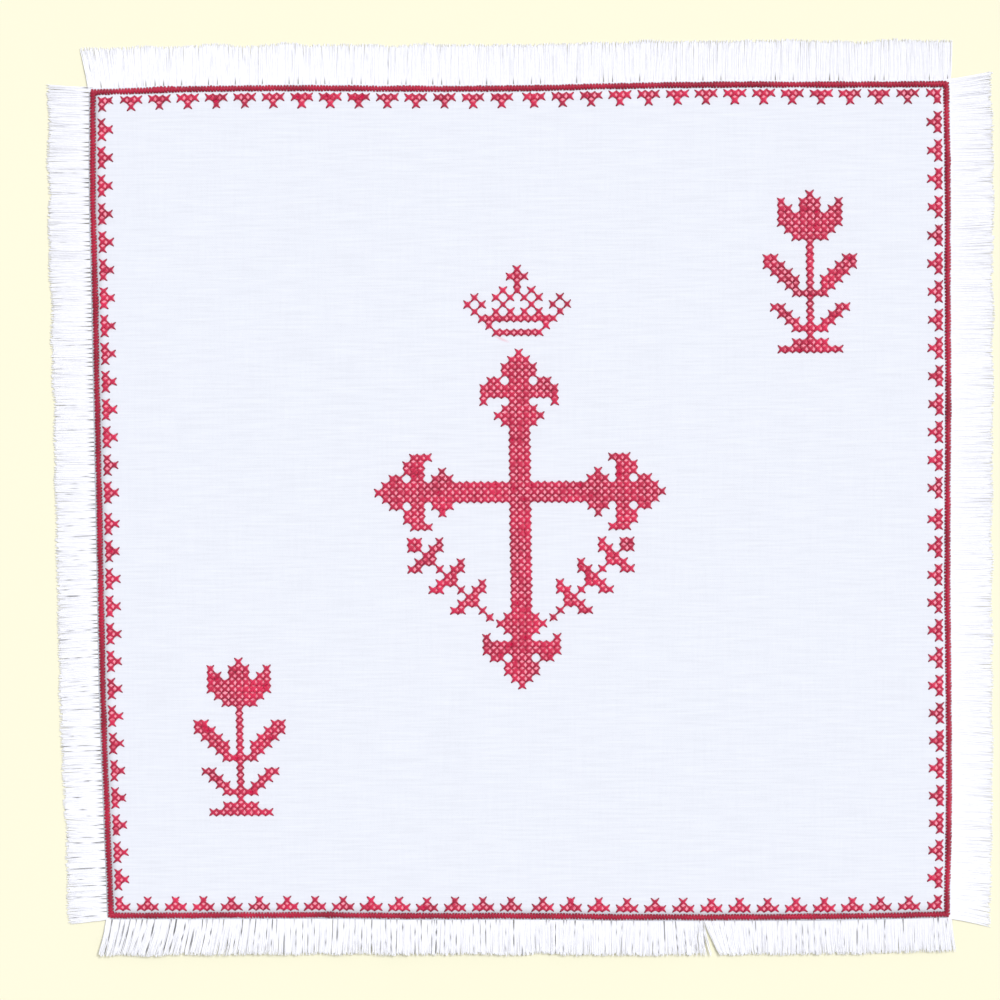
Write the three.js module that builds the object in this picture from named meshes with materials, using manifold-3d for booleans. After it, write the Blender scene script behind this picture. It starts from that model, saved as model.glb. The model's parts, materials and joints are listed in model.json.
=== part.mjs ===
// An Easter basket cover: a square of white cloth that lies flat. Its four sides are frayed into a
// fringe, a red edging is stitched round it where the fringe begins, and red cross stitch fills it: a
// border of small trefoils, a cross with flowered ends under a crown, two leafy sprigs at its foot, and
// a tulip in two of the corners.
// Millimetres. +X is to the right of the work, +Y towards its top, and +Z up from the table, at z = 0.
import * as THREE from "three";
import { mergeVertices } from "three/addons/utils/BufferGeometryUtils.js";
import Module from "manifold-3d";

const wasm = await Module();
wasm.setup();

// The work, over the outside of the red edging. It is charted as a square of 120 by 120 stitches, and
// the weave is a little closer one way than the other.
const WORK_WIDTH = 381;
const WORK_HEIGHT = 373.6;
const CHART_STITCHES = 120;
const CLOTH_THICKNESS = 1;
const PIECE_GAP = 0.3;

// The edging is a ridge of overcast stitches. The cloth's panel ends under the middle of it, and the
// narrow strip that holds the fringe begins there.
const EDGING_WIDTH = 2.5;
const EDGING_FOOT = 0.35;
const EDGING_CROWN = 0.55;
const EDGING_ARC_STEPS = 4;
const STRIP_SHOWING = 0.5;
const SIDE_STEPS = 12;

// The fringe: threads of the cloth itself, which lie in flat locks.
const LOCK_PITCH = 6;
const LOCK_WIDTH = 5.1;
const LOCK_HEIGHT = 0.9;
const TIP_WIDTH_SHARE = 0.84;
const TIP_HEIGHT_SHARE = 0.75;
const LOCK_TOP_SHARE = 0.62;
const LOCK_ROOT = 0.4;
const LOCK_BEND_SHARE = 0.55;
const TIP_WANDER = 0.4;
const BEND_WANDER = 0.25;
const LENGTH_WANDER = 0.6;
const CORNER_FAN = 3.2;
const FAN_SPAN = 40;
const SWEEP_SPAN = 45;
const FRINGE_SEED = 11;

// The embroidery, as the thread stands above the cloth.
const MOTIF_THICKNESS = 0.6;
const BORDER_RELIEF = 0.5;
const BORDER_ROOT = 0.5;
const STITCH_SPREAD = 0.12;

// The border, in stitches from the middle of each side.
const BORDER_OUTSIDE = 58.75;
const FIRST_TREFOIL = 2.25;
const TREFOIL_REPEAT = 4;
const TREFOILS_PER_HALF = 14;

const CLOTH_WHITE = 0xf1f3fb;
const FRINGE_WHITE = 0xf7f6f8;
const FLOSS_RED = 0xc22b52;
const EDGING_RED = 0xa82346;

// The four sides run clockwise, seen from above. Each has the turn that brings it from the top of the
// work to its place, half its own length, its distance from the middle, the length of its fringe, and
// how far the tips are swept along it, most at one place.
const ACROSS = WORK_WIDTH / 2;
const UP = WORK_HEIGHT / 2;
const SIDES = [
  { name: "top", turn: 0, half: ACROSS, reach: UP, fringe: 16.6, sweep: 0.5, sweptAt: 60 },
  { name: "right", turn: -90, half: UP, reach: ACROSS, fringe: 18, sweep: 1.2, sweptAt: 120 },
  { name: "bottom", turn: 180, half: ACROSS, reach: UP, fringe: 17.2, sweep: 2.8, sweptAt: 115 },
  { name: "left", turn: 90, half: UP, reach: ACROSS, fringe: 18, sweep: -1, sweptAt: -60 },
];

// How far each side bows outwards, at even steps from one of its ends to the other.
const BOW_STEPS = [
  { top: 0.0, right: 0.0, bottom: 0.0, left: 0.0 },
  { top: 2.1, right: 1.1, bottom: 2.0, left: 1.2 },
  { top: 1.5, right: 1.1, bottom: 2.1, left: 1.8 },
  { top: 1.2, right: 1.5, bottom: 1.9, left: 1.7 },
  { top: 0.5, right: 1.3, bottom: 1.3, left: 1.8 },
  { top: 0.7, right: 1.5, bottom: 1.2, left: 2.0 },
  { top: 0.6, right: 2.0, bottom: 0.4, left: 1.8 },
  { top: 0.1, right: 2.4, bottom: 0.2, left: 2.0 },
  { top: 0.0, right: 0.0, bottom: 0.0, left: 0.0 },
];

// Charts, in which each # is one cross stitch. A half chart begins at its middle column.
const TREFOIL = ["###", ".#."];
const CORNER_TREFOIL = ["##", ".#"];
const HALF_FLOWERED_END = [
  "#.....",
  "##....",
  "###...",
  "###...",
  "##.##.",
  "######",
  "######",
  "##...#",
  "###...",
  "####..",
  "###...",
];
const HALF_CROWN = [
  "#.......",
  "##......",
  "#.......",
  "#.#.....",
  ".#.#..#.",
  "..#..#.#",
  ".#.#..#.",
  "######..",
  "....#...",
  "####....",
];
const HALF_TULIP = [
  "#......",
  "##..#..",
  "##.##..",
  "#####..",
  "#####..",
  "####...",
  "###....",
  "#......",
  "#......",
  "#....##",
  "#...###",
  "#..###.",
  "#.###..",
  "#.##...",
  "###....",
  "#......",
  "#...##.",
  "#..##..",
  "#.##...",
  "###....",
  "#......",
  "###....",
  "#####..",
];
const SPRIG = [
  ".......#..##",
  ".......##.##",
  "........##..",
  "....#...###.",
  "....##.#..##",
  ".....##.....",
  ".#...###....",
  ".##.#..##...",
  "..##........",
  "..###.......",
  ".#..##......",
  "#...........",
];

// Places of the motifs, in stitches from the middle of the work.
const CROSS_MIDDLE = new THREE.Vector2(-0.3, 2);
const CROSS_HALF_BAR = 1.5;
const CROSS_ARMS = [
  { turn: 0, reach: 20.5 },
  { turn: -90, reach: 20.5 },
  { turn: 180, reach: 28.5 },
  { turn: 90, reach: 20.5 },
];
const CROWN_TOP = new THREE.Vector2(-0.4, 34.4);
const SPRIG_TOP = new THREE.Vector2(4, -4.6);
const TULIP_TOPS = [
  { name: "tulip_upper_right", spot: new THREE.Vector2(40.6, 44.7) },
  { name: "tulip_lower_left", spot: new THREE.Vector2(-40.6, -21.9) },
];

const halfChart = CHART_STITCHES / 2;
const stitch = new THREE.Vector2(WORK_WIDTH, WORK_HEIGHT).divideScalar(CHART_STITCHES);
const seamInset = (EDGING_WIDTH + PIECE_GAP) / 2;
const coverBase = CLOTH_THICKNESS + PIECE_GAP;

const bowCurves = Object.fromEntries(SIDES.map(({ name }) => [
  name,
  new THREE.SplineCurve(BOW_STEPS.map((step, index) => new THREE.Vector2(index, step[name]))),
]));

// The next number from -1 to 1 in a seeded run, so that the fringe is uneven in the same way each time.
function wander() {
  return THREE.MathUtils.seededRandom() * 2 - 1;
}

function turned(x, y, degrees) {
  return new THREE.Vector2(x, y).rotateAround(new THREE.Vector2(), THREE.MathUtils.degToRad(degrees));
}

function bowAt(side, along) {
  const share = THREE.MathUtils.clamp((along / side.half + 1) / 2, 0, 1);
  return bowCurves[side.name].getPoint(share).y;
}

// A point of the work, from a distance along a side from its middle and a distance out from it.
function sidePoint(side, along, out) {
  return turned(along, side.reach + bowAt(side, along) + out, side.turn);
}

// A line that follows a side at one distance out from it, and stops at an end distance past its corners.
function sideLine(side, out, end) {
  return Array.from({ length: SIDE_STEPS + 1 }, (_, step) => {
    const share = (2 * step) / SIDE_STEPS - 1;
    return sidePoint(side, share * (side.half + end), out);
  });
}

// The closed line all round the work at one distance out from its edge.
function roundLine(out) {
  return SIDES.flatMap((side) => sideLine(side, out, out).slice(0, -1));
}

function slab(outline, thickness) {
  return new THREE.ExtrudeGeometry(new THREE.Shape(outline), { depth: thickness, bevelEnabled: false });
}

// A solid through rings of points, all of one count. It closes on its first ring, or has flat ends.
function throughRings(rings, closed) {
  const count = rings[0].length;
  const positions = rings.flat().flatMap((point) => point.toArray());
  const faces = [];
  const spans = closed ? rings.length : rings.length - 1;
  for (let span = 0; span < spans; span += 1) {
    const here = span * count;
    const next = ((span + 1) % rings.length) * count;
    for (let corner = 0; corner < count; corner += 1) {
      const after = (corner + 1) % count;
      faces.push(here + corner, here + after, next + after);
      faces.push(here + corner, next + after, next + corner);
    }
  }
  if (!closed) {
    const last = (rings.length - 1) * count;
    for (let corner = 1; corner < count - 1; corner += 1) {
      faces.push(0, corner + 1, corner);
      faces.push(last, last + corner, last + corner + 1);
    }
  }
  const geometry = new THREE.BufferGeometry();
  geometry.setAttribute("position", new THREE.Float32BufferAttribute(positions, 3));
  geometry.setIndex(faces);
  return geometry;
}

function toSolid(geometry) {
  const bare = geometry.clone();
  bare.deleteAttribute("normal");
  bare.deleteAttribute("uv");
  const merged = mergeVertices(bare);
  const vertProperties = merged.attributes.position.array;
  const triVerts = new Uint32Array(merged.index.array);
  return new wasm.Manifold(new wasm.Mesh({ numProp: 3, vertProperties, triVerts }));
}

function joined(geometries) {
  const solid = geometries.map(toSolid).reduce((all, one) => all.add(one)).asOriginal();
  const mesh = solid.getMesh();
  const geometry = new THREE.BufferGeometry();
  geometry.setAttribute("position", new THREE.BufferAttribute(mesh.vertProperties, 3));
  geometry.setIndex(new THREE.BufferAttribute(mesh.triVerts, 1));
  return geometry;
}

// One run of stitches, as a low block between two opposite corners.
function stitchedRun(from, to, base, thickness) {
  const size = to.clone().sub(from);
  const width = Math.abs(size.x) + 2 * STITCH_SPREAD;
  const height = Math.abs(size.y) + 2 * STITCH_SPREAD;
  const middle = from.clone().add(to).divideScalar(2);
  return new THREE.BoxGeometry(width, height, thickness)
    .translate(middle.x, middle.y, base + thickness / 2);
}

// The stitches of a chart. The spot function gives the place of a column and row of it, in the work.
function stitchedChart(chart, spot, base = coverBase, thickness = MOTIF_THICKNESS) {
  return chart.flatMap((line, row) =>
    [...line.matchAll(/#+/g)].map((run) => {
      const from = spot(run.index, row);
      const to = spot(run.index + run[0].length, row + 1);
      return stitchedRun(from, to, base, thickness);
    }));
}

function mirroredChart(halfRows) {
  return halfRows.map((row) => [...row.slice(1)].reverse().join("") + row);
}

// Places an upright chart by the middle of its top edge, in stitches.
function upright(chart, top) {
  const halfColumns = chart[0].length / 2;
  return (column, row) => new THREE.Vector2(top.x + column - halfColumns, top.y - row).multiply(stitch);
}

function trefoilsOf(side) {
  const along = side.half / halfChart;
  const across = side.reach / halfChart;
  const margin = halfChart - BORDER_OUTSIDE;
  const base = CLOTH_THICKNESS - BORDER_ROOT;
  const thickness = BORDER_ROOT + BORDER_RELIEF;
  const motif = (chart, start, middle) => {
    const edge = side.reach + bowAt(side, middle * along);
    const spot = (column, row) =>
      turned((start + column) * along, edge - (margin + row) * across, side.turn);
    return stitchedChart(chart, spot, base, thickness);
  };
  const pieces = motif(CORNER_TREFOIL, BORDER_OUTSIDE - CORNER_TREFOIL[0].length, halfChart);
  for (let repeat = 0; repeat < TREFOILS_PER_HALF; repeat += 1) {
    const middle = FIRST_TREFOIL + repeat * TREFOIL_REPEAT;
    const halfWidth = TREFOIL[0].length / 2;
    pieces.push(...motif(TREFOIL, middle - halfWidth, middle));
    pieces.push(...motif(TREFOIL, -middle - halfWidth, -middle));
  }
  return pieces;
}

function cloth() {
  const panel = slab(roundLine(-seamInset), CLOTH_THICKNESS);
  return joined([panel, ...SIDES.flatMap(trefoilsOf)]);
}

function edging() {
  const radius = EDGING_WIDTH / 2;
  const shoulder = coverBase + EDGING_FOOT;
  const profile = [{ out: -EDGING_WIDTH, height: coverBase }];
  for (let step = EDGING_ARC_STEPS; step >= 0; step -= 1) {
    const angle = (Math.PI * step) / EDGING_ARC_STEPS;
    profile.push({
      out: radius * Math.cos(angle) - radius,
      height: shoulder + EDGING_CROWN * Math.sin(angle),
    });
  }
  profile.push({ out: 0, height: coverBase });
  const lines = profile.map(({ out, height }) =>
    roundLine(out).map((point) => new THREE.Vector3(point.x, point.y, height)));
  return throughRings(lines, true);
}

// One lock: four-sided, flat below, a little rounder and narrower towards its tip.
function lock(side, middle) {
  const endward = Math.max(0, Math.abs(middle) - side.half + FAN_SPAN) / FAN_SPAN;
  const fan = CORNER_FAN * endward ** 2 * Math.sign(middle);
  const sweep = side.sweep * Math.exp(-(((middle - side.sweptAt) / SWEEP_SPAN) ** 2));
  const lean = fan + sweep + TIP_WANDER * wander();
  const reach = side.fringe + LENGTH_WANDER * wander();
  const bend = LOCK_BEND_SHARE * lean + BEND_WANDER * wander();
  const sections = [
    { out: STRIP_SHOWING - LOCK_ROOT, shift: 0, width: 1, height: 1 },
    { out: LOCK_BEND_SHARE * reach, shift: bend, width: 1, height: 1 },
    { out: reach, shift: lean, width: TIP_WIDTH_SHARE, height: TIP_HEIGHT_SHARE },
  ];
  const rings = sections.map(({ out, shift, width, height }) => {
    const half = (LOCK_WIDTH * width) / 2;
    const corners = [
      { x: half, z: 0 },
      { x: -half, z: 0 },
      { x: -half * LOCK_TOP_SHARE, z: LOCK_HEIGHT * height },
      { x: half * LOCK_TOP_SHARE, z: LOCK_HEIGHT * height },
    ];
    const spine = sidePoint(side, middle, out);
    return corners.map(({ x, z }) => {
      const spot = turned(shift + x, 0, side.turn).add(spine);
      return new THREE.Vector3(spot.x, spot.y, z);
    });
  });
  return throughRings(rings, false);
}

function fringe(side) {
  const inner = -seamInset + PIECE_GAP;
  const mitre = -Math.SQRT1_2 * PIECE_GAP;
  const outline = [
    ...sideLine(side, inner, inner + mitre),
    ...sideLine(side, STRIP_SHOWING, STRIP_SHOWING + mitre).reverse(),
  ];
  const count = Math.floor((2 * side.half) / LOCK_PITCH);
  const pitch = (2 * side.half - LOCK_WIDTH) / (count - 1);
  const locks = Array.from({ length: count }, (_, index) =>
    lock(side, LOCK_WIDTH / 2 - side.half + index * pitch));
  return joined([slab(outline, CLOTH_THICKNESS), ...locks]);
}

function cross() {
  const chart = mirroredChart(HALF_FLOWERED_END);
  return joined(CROSS_ARMS.flatMap(({ turn, reach }) => {
    const spot = (column, out) => turned(column, out, turn).add(CROSS_MIDDLE).multiply(stitch);
    const halfColumns = chart[0].length / 2;
    const end = stitchedChart(chart, (column, row) => spot(column - halfColumns, reach - row));
    const from = spot(-CROSS_HALF_BAR, -CROSS_HALF_BAR);
    const to = spot(CROSS_HALF_BAR, reach - chart.length);
    return [stitchedRun(from, to, coverBase, MOTIF_THICKNESS), ...end];
  }));
}

function crown() {
  const chart = mirroredChart(HALF_CROWN);
  return joined(stitchedChart(chart, upright(chart, CROWN_TOP)));
}

function tulip(top) {
  const chart = mirroredChart(HALF_TULIP);
  return joined(stitchedChart(chart, upright(chart, top)));
}

// The sprig on one hand of the cross: the right hand is 1, the left hand -1.
function sprig(hand) {
  return joined(stitchedChart(SPRIG, (column, row) => {
    const x = CROSS_MIDDLE.x + hand * (SPRIG_TOP.x + column);
    return new THREE.Vector2(x, SPRIG_TOP.y - row).multiply(stitch);
  }));
}

function finish(color, roughness) {
  return new THREE.MeshStandardMaterial({ color, roughness, metalness: 0 });
}

const work = new THREE.Group();

function add(name, geometry, material) {
  const mesh = new THREE.Mesh(geometry, material);
  mesh.name = name;
  work.add(mesh);
}

add("cloth", cloth(), finish(CLOTH_WHITE, 0.9));
add("edging", edging(), finish(EDGING_RED, 0.7));

THREE.MathUtils.seededRandom(FRINGE_SEED);
for (const side of SIDES) {
  add(`fringe_${side.name}`, fringe(side), finish(FRINGE_WHITE, 0.95));
}

const floss = finish(FLOSS_RED, 0.6);
add("cross", cross(), floss);
add("crown", crown(), floss);
add("sprig_right", sprig(1), floss);
add("sprig_left", sprig(-1), floss);
for (const { name, spot } of TULIP_TOPS) {
  add(name, tulip(spot), floss);
}

// The origin is under the middle of the whole cover, fringe included, on the table.
const extent = new THREE.Box3().setFromObject(work);
const middle = extent.getCenter(new THREE.Vector3());
work.position.set(-middle.x, -middle.y, -extent.min.z);

const cover = new THREE.Group();
cover.add(work);

export default cover;
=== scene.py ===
"""An Easter basket cover that lies flat: white cloth with frayed sides, a red edging and cross stitch.

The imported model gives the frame. Each operator makes one piece, or one group of like pieces, in that
frame: the cloth, its fringe, its edging, the border's trefoils, the embroidered motifs and the stage.
Lengths are metres. +X is to the right of the work, +Y towards its top, and +Z up from the table.
"""

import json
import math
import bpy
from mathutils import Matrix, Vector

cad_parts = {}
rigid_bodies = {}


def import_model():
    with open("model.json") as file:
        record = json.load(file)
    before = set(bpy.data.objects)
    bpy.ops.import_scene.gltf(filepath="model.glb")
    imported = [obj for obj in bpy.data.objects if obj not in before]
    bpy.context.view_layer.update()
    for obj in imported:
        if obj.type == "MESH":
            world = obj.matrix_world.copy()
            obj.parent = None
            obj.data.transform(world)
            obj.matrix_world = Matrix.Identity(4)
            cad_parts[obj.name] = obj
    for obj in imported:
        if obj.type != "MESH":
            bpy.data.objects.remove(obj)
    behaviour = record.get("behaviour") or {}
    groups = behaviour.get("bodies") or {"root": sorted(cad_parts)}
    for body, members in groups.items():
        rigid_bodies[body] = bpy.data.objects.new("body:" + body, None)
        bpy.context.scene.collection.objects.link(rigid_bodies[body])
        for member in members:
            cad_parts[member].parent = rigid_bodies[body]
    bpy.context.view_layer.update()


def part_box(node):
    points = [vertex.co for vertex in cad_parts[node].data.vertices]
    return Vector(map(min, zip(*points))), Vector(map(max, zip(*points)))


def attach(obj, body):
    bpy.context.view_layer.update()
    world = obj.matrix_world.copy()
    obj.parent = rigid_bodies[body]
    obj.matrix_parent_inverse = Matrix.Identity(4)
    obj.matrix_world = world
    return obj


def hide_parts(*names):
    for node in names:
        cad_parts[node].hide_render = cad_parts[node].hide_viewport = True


bl_info = {
    "name": "Easter Basket Cover",
    "version": (1, 0, 0),
    "blender": (4, 5, 0),
    "location": "3D View > Sidebar > Basket Cover",
    "description": "Makes a fringed and embroidered Easter basket cover, laid flat",
    "category": "Add Mesh",
}

from functools import reduce

import bpy
import numpy as np
from bpy.props import FloatProperty, FloatVectorProperty, IntProperty, PointerProperty
from mathutils import Vector

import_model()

MM = 0.001

# The gap between the cloth's panel and the strip that each side's fringe grows from.
PIECE_GAP = 0.3 * MM

# What a strand's points carry for its material: how near they lie to the strand's ends, for the painted
# shade of the floss there, and how near to the edge of a parted bundle or lock, for the painted shade of
# the threads there.
STRAND_END = "strand_end"
PAINTED_LOCK_SHADE = "lock_edge"

# The sides run clockwise, seen from above. Each has the turn in degrees that brings it from the top of
# the work to its place, and how far it bows outwards at even steps along it. The rest is how its fringe
# lies. Pairs are for the start and the end of the side: how long the threads are, how far they fan out,
# how much they part and how far their tips curl up. Then come how much they part at their roots, how
# far their tips are swept along the side and where, and how wide a notch opens in them and where.
# Lengths are in millimetres.
SIDES = {
    "top": {
        "turn": 0, "bow": (0, 0.9, 0.9, 0.2, -0.1, 0.5, 0.7, 0.1, 0),
        "length": (18.9, 18.9), "fan": (3.6, 0.4), "parting": (0.45, 0.2), "root_parting": 1.1,
        "sweep": 0.5, "swept_at": 60,
    },
    "right": {
        "turn": -90, "bow": (0, 0.6, 0.6, 0.8, 0.5, 0.5, 0.9, 0.9, 0),
        "length": (19.9, 19.1), "fan": (3.3, 4.0), "parting": (0.05, 0.2), "root_parting": 0.1,
        "sweep": 1.2, "swept_at": 120,
    },
    "bottom": {
        "turn": 180, "bow": (0, 1.0, 1.2, 1.1, 0.5, 0.5, -0.1, 0, 0),
        "length": (16.4, 17.6), "fan": (1.8, 1.3), "parting": (0.85, 1.2), "root_parting": 0.9,
        "lift": (0.7, 1.5), "sweep": 4.0, "swept_at": 165, "notch": 7.5, "notched_at": -80,
    },
    "left": {
        "turn": 90, "bow": (0, 0.7, 1.4, 1.4, 1.2, 1.1, 1.0, 1.0, 0),
        "length": (19.0, 19.8), "fan": (1.3, 1.5), "parting": (1.0, 0.5), "root_parting": 1.3,
        "sweep": -1.0, "swept_at": -60,
    },
}

# How far the work's corners are pulled out of square, to the right and up, in millimetres: the lower
# left and lower right ones, then the upper left and upper right ones.
CORNER_PULLS = (((0.0, 0.0), (1.1, -1.2)), ((-0.6, 0.9), (0.2, -0.45)))

# Charts, in which each # is one cross stitch. A half chart begins at its middle column.
TREFOIL = ("###", ".#.")
CORNER_TREFOIL = ("##", ".#")
HALF_FLOWERED_END = (
    "#.....",
    "##....",
    "###...",
    "###...",
    "##.##.",
    "######",
    "######",
    "##...#",
    "###...",
    "####..",
    "###...",
)
HALF_CROWN = (
    "#.......",
    "##......",
    "#.......",
    "#.#.....",
    ".#.#..#.",
    "..#..#.#",
    ".#.#..#.",
    "######..",
    "....#...",
    "####....",
)
HALF_TULIP = (
    "#......",
    "##..#..",
    "##.##..",
    "#####..",
    "#####..",
    "####...",
    "###....",
    "#......",
    "#......",
    "#....##",
    "#...###",
    "#..###.",
    "#.###..",
    "#.##...",
    "###....",
    "#......",
    "#...##.",
    "#..##..",
    "#.##...",
    "###....",
    "#......",
    "###....",
    "#####..",
)
SPRIG = (
    ".......#..##",
    ".......##.##",
    "........##..",
    "....#...###.",
    "....##.#..##",
    ".....##.....",
    ".#...###....",
    ".##.#..##...",
    "..##........",
    "..###.......",
    ".#..##......",
    "#...........",
)

# One cross stitch. Its legs reach a little past its corners, and each has two strands that twist about
# one another and draw together at its ends. The lifts are heights above the cloth at even steps along a
# leg, in millimetres. The finer pieces have thinner strands, by these shares.
LEG_REACH = 1.14
LEG_TWIST = 0.7
LEG_CLOSING = 0.6
TWIST_HEIGHT = 0.5
LOWER_LEG_LIFTS = (-0.06, 0.22, 0.26, 0.22, -0.06)
UPPER_LEG_LIFTS = (-0.02, 0.42, 0.8, 0.42, -0.02)
FULLNESS = {"crown_stitches": 0.93, "border_stitches": 0.93}

# One overcast stitch: how far its two strands lie to each side, as a share of the pitch, how far they
# slant, and how deep their feet are sunk, in millimetres.
OVERCAST_ASIDE = 0.17
OVERCAST_SLANT = 0.25
OVERCAST_SINK = 0.25

# A pale red mark that floss has left on the cloth under the crown: its middle from the middle of the
# work and its half size in millimetres, its turn in degrees, and its strength.
STAIN = {"middle": (-8.3, 74.6), "half_size": (4.2, 0.9), "turn": 24, "strength": 0.55}

# Where a new length of floss starts on the top of the edging: from and to, along it, and how far it
# lies outside the first one, in millimetres.
NEW_FLOSS = (-161.5, -153.5)
NEW_FLOSS_ASIDE = 0.35

# How many stitches the work would hold each way, over its edging, and the places of the border and the
# motifs, in stitches from its middle.
CHART_STITCHES = 120
BORDER_OUTSIDE = 58.85
FIRST_TREFOIL = 2.25
TREFOIL_REPEAT = 4
TREFOILS_PER_HALF = 14
CROSS_MIDDLE = (-0.3, 2.0)
CROSS_ARMS = ((0, 20), (-90, 20), (180, 28), (90, 20))
CROSS_BAR_CELLS = (-1, 0, 1)
CROWN_TOP = (-0.4, 34.4)
SPRIG_TOP = (4.0, -4.6)
TULIP_TOPS = {"tulip_upper_right": (40.6, 44.7), "tulip_lower_left": (-40.6, -21.9)}

# The camera of the photograph, found from the corners and sides of the edging in it: its place from the
# middle of the work's face in millimetres, and its turn in degrees. Then the way the key light shines.
CAMERA_PLACE = (2.912, 35.412, 748.033)
CAMERA_TURN = (-2.524, 0.954, -0.567)
KEY_DIRECTION = (-0.7, -0.65, -0.95)


def length(name, default, description):
    return FloatProperty(
        name=name, description=description, default=default, min=0, unit="LENGTH", precision=5
    )


def colour(name, default, description):
    return FloatVectorProperty(
        name=name, description=description, default=default, min=0, max=1, subtype="COLOR"
    )


class ClothSettings(bpy.types.PropertyGroup):
    """Sizes and colours of the cloth."""

    width: length("Width", 381 * MM, "Width of the work over its edging")
    height: length("Height", 373.6 * MM, "Height of the work over its edging")
    bottom: length("Underside", 0.1 * MM, "Height of the cloth's underside above the table")
    top: length("Face", 0.95 * MM, "Height of the cloth's face above the table")
    ripple: length("Ripple", 0.12 * MM, "How far the cloth's face rises and falls")
    mesh_step: length("Mesh Step", 4 * MM, "Spacing of the points of the cloth's mesh")
    thread_pitch: length("Thread Pitch", 0.5 * MM, "Spacing of the threads of the weave")
    white: colour("White", (0.77, 0.795, 0.875), "Colour of the cloth")
    stain: colour("Stain", (0.80, 0.36, 0.44), "Colour of the floss that has marked the cloth")


class EdgingSettings(bpy.types.PropertyGroup):
    """Sizes and colours of the overcast edging."""

    width: length("Width", 2.5 * MM, "Width of the edging's seam")
    span: length("Span", 2.6 * MM, "How far a stitch reaches, from foot to foot")
    rise: length("Rise", 0.8 * MM, "How far the stitches arch above the cloth")
    pitch: length("Pitch", 1.36 * MM, "Spacing of the overcast stitches")
    strand: length("Strand", 0.32 * MM, "Half thickness of one strand")
    padding: length("Padding", 0.68 * MM, "Half thickness of the laid floss under the stitches")
    wander: length("Wander", 0.14 * MM, "How far the strands stray from their line")
    red: colour("Red", (0.42, 0.006, 0.042), "Colour of the edging")
    seed: IntProperty(name="Seed", description="Seed of the unevenness", default=5)


class FringeSettings(bpy.types.PropertyGroup):
    """Sizes and colours of the frayed sides."""

    heading: length("Heading", 0.5 * MM, "Width of unfrayed cloth outside the edging")
    past_corner: length("Past Corner", 0.9 * MM, "How far the threads go on past the corners")
    threads: IntProperty(name="Threads", description="Threads on each side", default=2300, min=1)
    thread: length("Thread", 0.2 * MM, "Half thickness of one thread")
    bundle: length("Bundle", 2.0 * MM, "Spacing of the bundles that leave the weave")
    lock: length("Lock", 2.7 * MM, "Spacing of the locks that the threads gather in")
    white: colour("White", (0.885, 0.89, 0.945), "Colour of the frayed threads")
    seed: IntProperty(name="Seed", description="Seed of the unevenness", default=11)


class StitchSettings(bpy.types.PropertyGroup):
    """Sizes and colours of the cross stitch."""

    strand: length("Strand", 0.385 * MM, "Half thickness of one strand of floss")
    apart: length("Apart", 0.23 * MM, "How far a leg's two strands lie from its middle")
    wander: length("Wander", 0.14 * MM, "How far the strands stray from the chart")
    red: colour("Red", (0.60, 0.014, 0.075), "Colour of the floss")
    fuzz: colour("Fuzz", (0.92, 0.34, 0.44), "Colour of the cloth where loose fibres of floss lie on it")
    fuzz_reach: length("Fuzz Reach", 1.2 * MM, "How far a tuft of loose fibres reaches")
    seed: IntProperty(name="Seed", description="Seed of the unevenness", default=3)


class StageSettings(bpy.types.PropertyGroup):
    """Floor, light and camera."""

    floor: colour("Floor", (0.85, 0.83, 0.645), "Colour of the floor")
    fill: FloatProperty(name="Fill", description="Strength of the light all round", default=0.66)
    key: FloatProperty(name="Key", description="Strength of the key light", default=2.4)
    lens: FloatProperty(name="Lens", description="Focal length in millimetres", default=60)


# The type of a socket, by the type of its default value.
SOCKET_TYPES = {float: "Float", int: "Int", bool: "Bool"}


def sum_of(operation, swapped=False):
    """A method of Number for one kind of sum, in which Number may come second."""

    def method(self, other):
        return self.tree.math(operation, *((other, self) if swapped else (self, other)))

    return method


class Number:
    """A number or vector in a node tree, which adds and multiplies as one does in a sum."""

    def __init__(self, tree, socket):
        self.tree = tree
        self.socket = socket

    def beside(self, name):
        """Another output of the same node."""
        return Number(self.tree, self.socket.node.outputs[name])

    __add__ = sum_of("ADD")
    __radd__ = sum_of("ADD", swapped=True)
    __sub__ = sum_of("SUBTRACT")
    __rsub__ = sum_of("SUBTRACT", swapped=True)
    __mul__ = sum_of("MULTIPLY")
    __truediv__ = sum_of("DIVIDE")
    __rtruediv__ = sum_of("DIVIDE", swapped=True)
    __pow__ = sum_of("POWER")


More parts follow.
